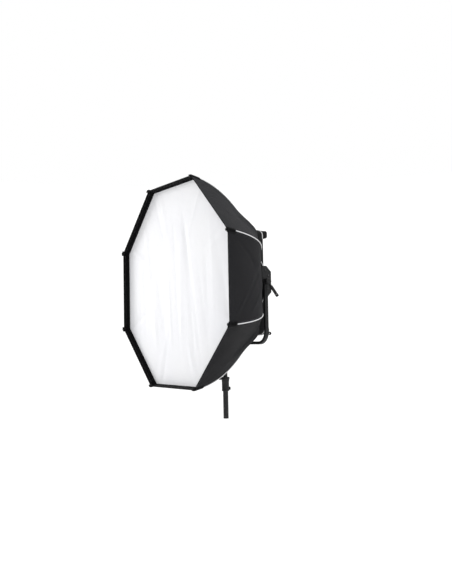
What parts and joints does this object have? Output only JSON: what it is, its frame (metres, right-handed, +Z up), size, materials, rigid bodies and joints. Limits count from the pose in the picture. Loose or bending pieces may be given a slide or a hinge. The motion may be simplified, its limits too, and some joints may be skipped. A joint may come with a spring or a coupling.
{
  "type": "studio softbox",
  "caption": "Octagonal softbox on a slim lamp, tilting in a U-shaped yoke on the top of a clamped column.",
  "frame": {"origin": "centre of the column's lower end", "axes": "+Z up the column, -Y out of the front diffuser, +X towards the side with the tilt lever"},
  "size_m": [1.115, 0.4408, 1.2975],
  "materials": {
    "cloth": "matte black woven nylon",
    "trim": "matte black binding and caps",
    "diffuser": "matte white diffusion cloth",
    "rod": "spring steel",
    "steel": "satin steel",
    "black_metal": "satin black coating",
    "plastic": "fine grained black",
    "rubber": "matte black",
    "lamp_diffuser": "opal",
    "board": "white board with yellow emitters"
  },
  "bodies": {
    "column": {"column_collar": "black_metal", "end_plug": "rubber", "lower_tube": "black_metal"},
    "column_knob": {"column_knob": "plastic"},
    "upper_column": {"stand_spigot": "steel", "upper_tube": "black_metal"},
    "yoke": {"cable_clip": "plastic", "yoke": "black_metal", "yoke_receiver": "black_metal"},
    "receiver_knob": {"receiver_knob": "plastic"},
    "head": {"panel_upper_right": "cloth", "panel_top": "cloth", "panel_upper_left": "cloth", "panel_left": "cloth", "panel_lower_left": "cloth", "panel_bottom": "cloth", "panel_lower_right": "cloth", "panel_right": "cloth", "rear_collar": "cloth", "rod_1": "rod", "rod_2": "rod", "rod_3": "rod", "rod_4": "rod", "rod_5": "rod", "rod_6": "rod", "rod_7": "rod", "rod_8": "rod", "corner_cap_1": "trim", "corner_cap_2": "trim", "corner_cap_3": "trim", "corner_cap_4": "trim", "corner_cap_5": "trim", "corner_cap_6": "trim", "corner_cap_7": "trim", "corner_cap_8": "trim", "front_lip": "trim", "front_diffuser": "diffuser", "inner_baffle": "diffuser", "speed_ring": "black_metal", "lamp_frame": "black_metal", "back_cover": "black_metal", "lamp_diffuser": "lamp_diffuser", "led_board": "board", "corner_guard_upper_right": "rubber", "corner_guard_upper_left": "rubber", "corner_guard_lower_left": "rubber", "corner_guard_lower_right": "rubber", "control_box": "plastic", "power_inlet": "plastic", "tilt_bracket_right": "black_metal", "tilt_bracket_left": "black_metal", "pivot_bolt_right": "steel", "pivot_bolt_left": "steel"},
    "tilt_lever": {"tilt_lever": "plastic"},
    "tilt_knob": {"tilt_knob": "plastic"},
    "dimmer_dial": {"dimmer_dial": "plastic"},
    "colour_dial": {"colour_dial": "plastic"},
    "power_switch": {"power_switch": "plastic"}
  },
  "joints": [
    {"name": "column_slide", "type": "slide", "parent": "column", "child": "upper_column", "axis": [0, 0, 1], "range_m": [0, 0.12]},
    {"name": "column_knob_turn", "type": "hinge", "parent": "column", "child": "column_knob", "pos_m": [0, -0.03, 0.224], "axis": [0, -1, 0], "range_deg": [-180, 180]},
    {"name": "yoke_pan", "type": "hinge", "parent": "upper_column", "child": "yoke", "pos_m": [0, 0, 0.36], "axis": [0, 0, 1], "continuous": true},
    {"name": "receiver_knob_turn", "type": "hinge", "parent": "yoke", "child": "receiver_knob", "pos_m": [0, -0.03, 0.362], "axis": [0, -1, 0], "range_deg": [-180, 180]},
    {"name": "head_tilt", "type": "hinge", "parent": "yoke", "child": "head", "pos_m": [0, 0, 0.74], "axis": [1, 0, 0], "range_deg": [-90, 2.5]},
    {"name": "tilt_lever_turn", "type": "hinge", "parent": "yoke", "child": "tilt_lever", "pos_m": [0.4, 0, 0.74], "axis": [1, 0, 0], "range_deg": [-60, 60]},
    {"name": "tilt_knob_turn", "type": "hinge", "parent": "yoke", "child": "tilt_knob", "pos_m": [-0.4, 0, 0.74], "axis": [-1, 0, 0], "range_deg": [-180, 180]},
    {"name": "dimmer_dial_turn", "type": "hinge", "parent": "head", "child": "dimmer_dial", "pos_m": [0.085, 0.066, 0.782], "axis": [0, 1, 0], "continuous": true},
    {"name": "colour_dial_turn", "type": "hinge", "parent": "head", "child": "colour_dial", "pos_m": [0.085, 0.066, 0.728], "axis": [0, 1, 0], "continuous": true},
    {"name": "power_switch_rock", "type": "hinge", "parent": "head", "child": "power_switch", "pos_m": [-0.095, 0.0645, 0.69], "axis": [1, 0, 0], "range_deg": [0, 16]}
  ]
}
